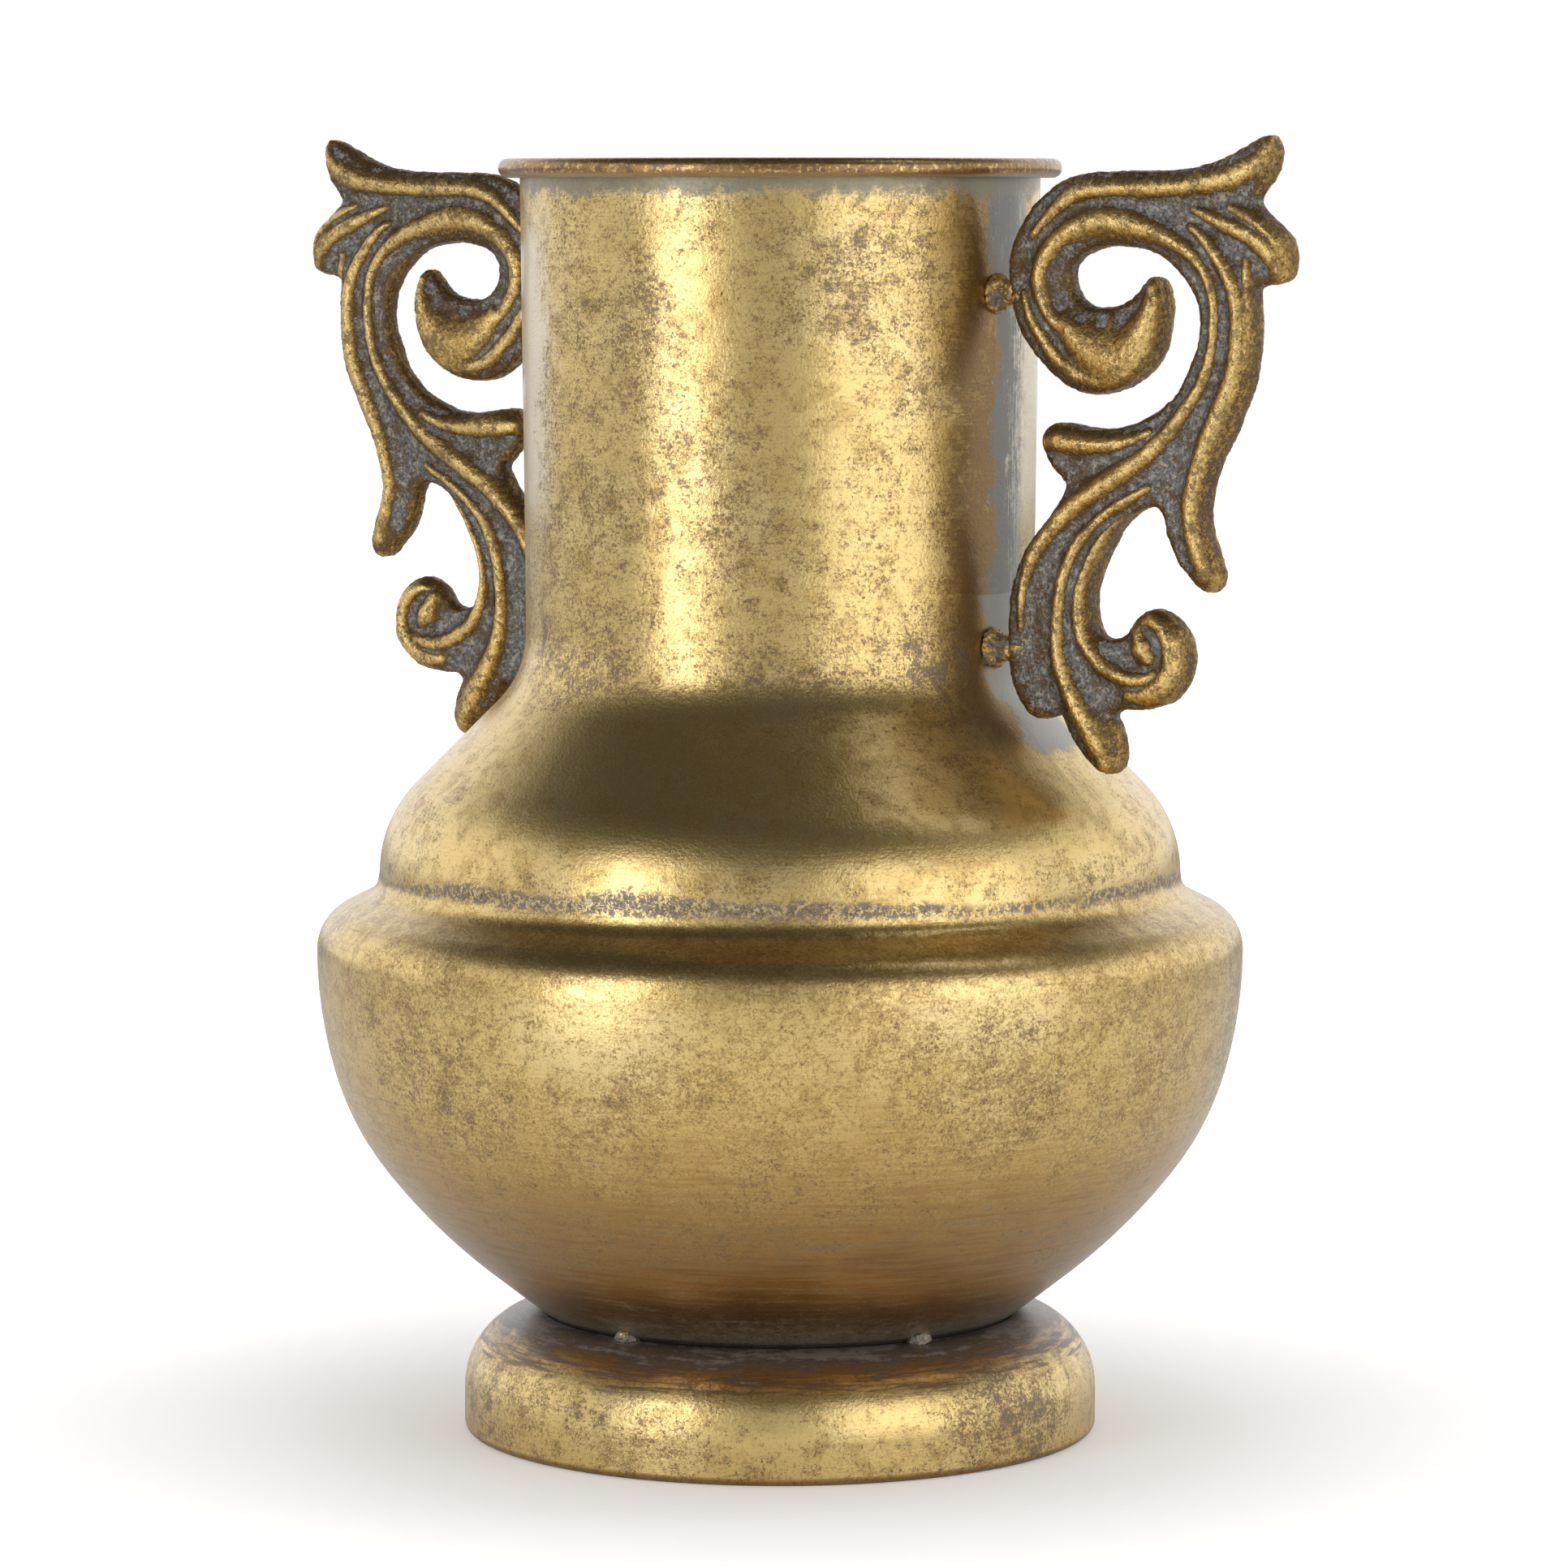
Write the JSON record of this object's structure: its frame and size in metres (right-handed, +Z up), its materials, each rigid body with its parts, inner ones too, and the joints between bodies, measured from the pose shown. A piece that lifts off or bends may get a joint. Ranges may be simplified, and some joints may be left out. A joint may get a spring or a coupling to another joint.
{
  "type": "urn vase",
  "caption": "Two-handled urn vase of spun sheet metal with a rolled rim, a stepped shoulder, a domed foot ring and cast scroll handles, for cut or dried flowers.",
  "frame": {"origin": "centre of the foot's underside, on the surface the vase stands on", "axes": "+Z up along the vase's axis, +X towards one handle, +Y square to the handles"},
  "size_m": [0.2838, 0.2218, 0.3093],
  "materials": {
    "shell_brass": "distressed antique brass over grey patina, brushed",
    "cast_brass": "cast, gilded ridges over sandy grey valleys",
    "weld_metal": "rough weld metal with dull gilding",
    "wire": "plain drawn wire"
  },
  "bodies": {
    "root": {"neck": "shell_brass", "shoulder": "shell_brass", "bowl": "shell_brass", "foot": "shell_brass", "handle_right": "cast_brass", "handle_left": "cast_brass", "neck_seam_weld": "weld_metal", "belt_seam_weld": "weld_metal", "foot_tack_1": "weld_metal", "foot_tack_2": "weld_metal", "foot_tack_3": "weld_metal", "foot_tack_4": "weld_metal", "foot_tack_5": "weld_metal", "stud_upper_right": "weld_metal", "stud_upper_left": "weld_metal", "stud_lower_right": "weld_metal", "stud_lower_left": "weld_metal", "weld_upper_right": "weld_metal", "weld_upper_left": "weld_metal", "weld_lower_right": "weld_metal", "weld_lower_left": "weld_metal", "rim_wire": "wire"}
  },
  "joints": []
}
